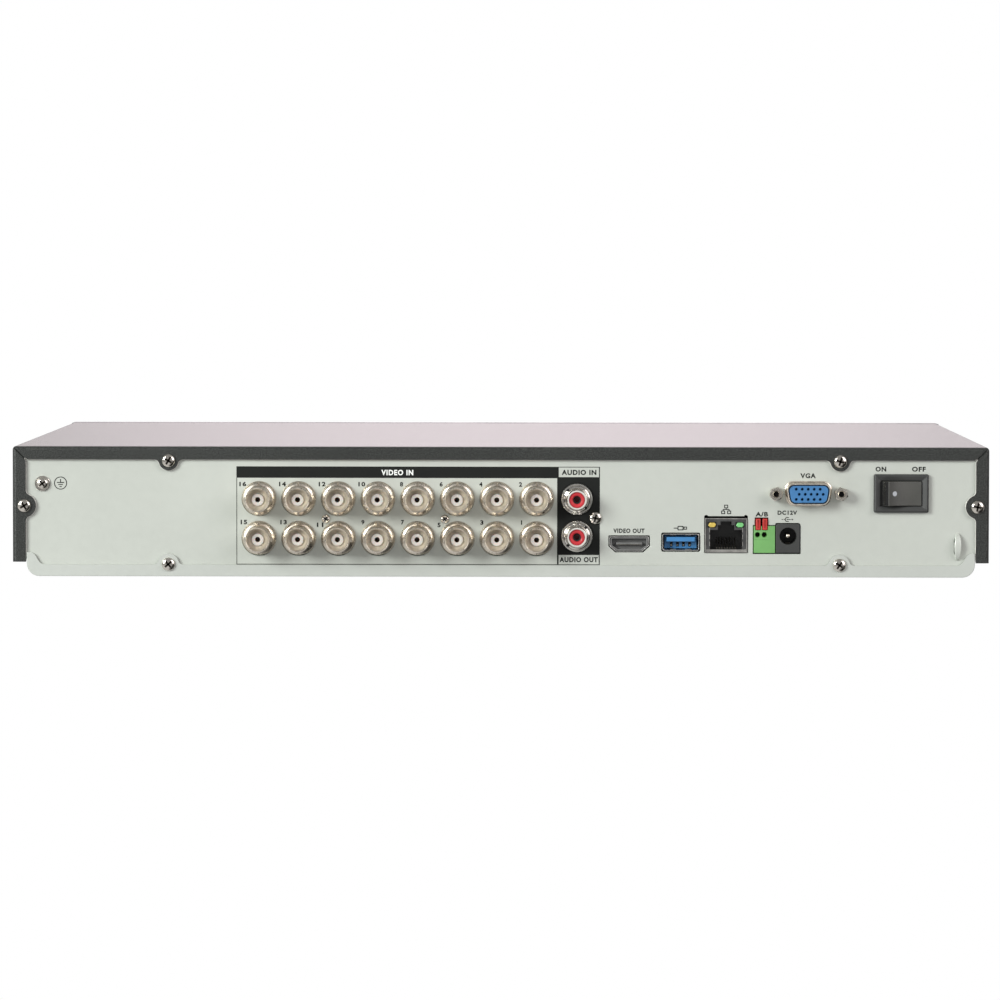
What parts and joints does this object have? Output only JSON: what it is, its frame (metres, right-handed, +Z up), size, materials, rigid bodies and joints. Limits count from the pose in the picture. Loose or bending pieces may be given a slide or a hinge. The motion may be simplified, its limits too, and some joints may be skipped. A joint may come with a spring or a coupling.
{
  "type": "video recorder",
  "caption": "Flat security video recorder: charcoal lid on a pale tray, with bayonet video jacks, audio and data ports, a spring terminal and a rocker switch on its rear panel.",
  "frame": {"origin": "on the surface that the feet stand on, under the middle of the recorder's bounding box, jacks included", "axes": "+X to the right as seen from behind, facing the connector panel; +Y from the connector panel towards the plastic front; +Z up"},
  "size_m": [0.375, 0.286, 0.053],
  "materials": {
    "cover_black": "fine textured charcoal powder coat",
    "panel_grey": "satin pale grey coating",
    "bare_steel": "satin pale grey coating",
    "front_black": "fine satin",
    "smoked_window": "smooth and dark",
    "rubber": "matte",
    "screw_steel": "bright nickel plate",
    "nickel": "warm satin nickel plate",
    "chrome": "bright plate",
    "stainless": "plain stamped sheet",
    "black_plastic": "satin",
    "white_plastic": "satin",
    "red_plastic": "smooth",
    "blue_plastic": "satin",
    "green_plastic": "satin",
    "board_green": "solder mask",
    "aluminium": "plain",
    "lead_black": "soft sheath"
  },
  "bodies": {
    "case": {"audio_jack_housing": "black_plastic", "audio_jack_insulator_in": "red_plastic", "audio_jack_insulator_out": "red_plastic", "audio_jack_screw": "screw_steel", "audio_jack_shell_in": "chrome", "audio_jack_shell_out": "chrome", "bottom_tray": "bare_steel", "case_screw_side_left": "screw_steel", "case_screw_side_right": "screw_steel", "case_screw_top_left": "screw_steel", "case_screw_top_right": "screw_steel", "case_screw_tray_left": "screw_steel", "case_screw_tray_right": "screw_steel", "coin_cell": "stainless", "drive_lead": "lead_black", "fan_frame": "black_plastic", "foot_front_left": "rubber", "foot_front_right": "rubber", "foot_rear_left": "rubber", "foot_rear_right": "rubber", "front_bezel": "front_black", "front_board": "board_green", "front_lead": "lead_black", "front_window": "smoked_window", "ground_screw": "screw_steel", "hard_disk": "aluminium", "hd_video_port_shell": "stainless", "hd_video_port_tongue": "black_plastic", "heat_sink": "aluminium", "lan_port_housing": "black_plastic", "lan_port_shield": "stainless", "main_board": "board_green", "power_jack": "black_plastic", "power_jack_pin": "nickel", "rear_panel": "panel_grey", "switch_frame": "black_plastic", "switch_lead": "lead_black", "terminal_block": "green_plastic", "top_cover": "cover_black", "usb_port_shell": "stainless", "usb_port_tongue": "blue_plastic", "vga_jack_screw_left": "nickel", "vga_jack_screw_right": "nickel", "vga_port_insert": "blue_plastic", "vga_port_shell": "nickel", "video_jack_insulator": "white_plastic", "video_jack_screw_1": "screw_steel", "video_jack_screw_2": "screw_steel", "video_jacks_01_02": "nickel", "video_jacks_03_04": "nickel", "video_jacks_05_06": "nickel", "video_jacks_07_08": "nickel", "video_jacks_09_10": "nickel", "video_jacks_11_12": "nickel", "video_jacks_13_14": "nickel", "video_jacks_15_16": "nickel"},
    "rocker": {"switch_rocker": "black_plastic"},
    "lever_a": {"terminal_lever_a": "red_plastic"},
    "lever_b": {"terminal_lever_b": "red_plastic"},
    "rotor": {"fan_rotor": "black_plastic"}
  },
  "joints": [
    {"name": "switch_rock", "type": "hinge", "parent": "case", "child": "rocker", "pos_m": [0.1537, -0.1287, 0.0353], "axis": [0, 0, -1], "range_deg": [0, 28]},
    {"name": "terminal_push_a", "type": "slide", "parent": "case", "child": "lever_a", "axis": [0, 1, 0], "range_m": [0, 0.0012], "stiffness_N_per_m": 400},
    {"name": "terminal_push_b", "type": "slide", "parent": "case", "child": "lever_b", "axis": [0, 1, 0], "range_m": [0, 0.0012], "stiffness_N_per_m": 400},
    {"name": "fan_spin", "type": "hinge", "parent": "case", "child": "rotor", "pos_m": [-0.1758, -0.03, 0.0265], "axis": [1, 0, 0], "continuous": true}
  ]
}
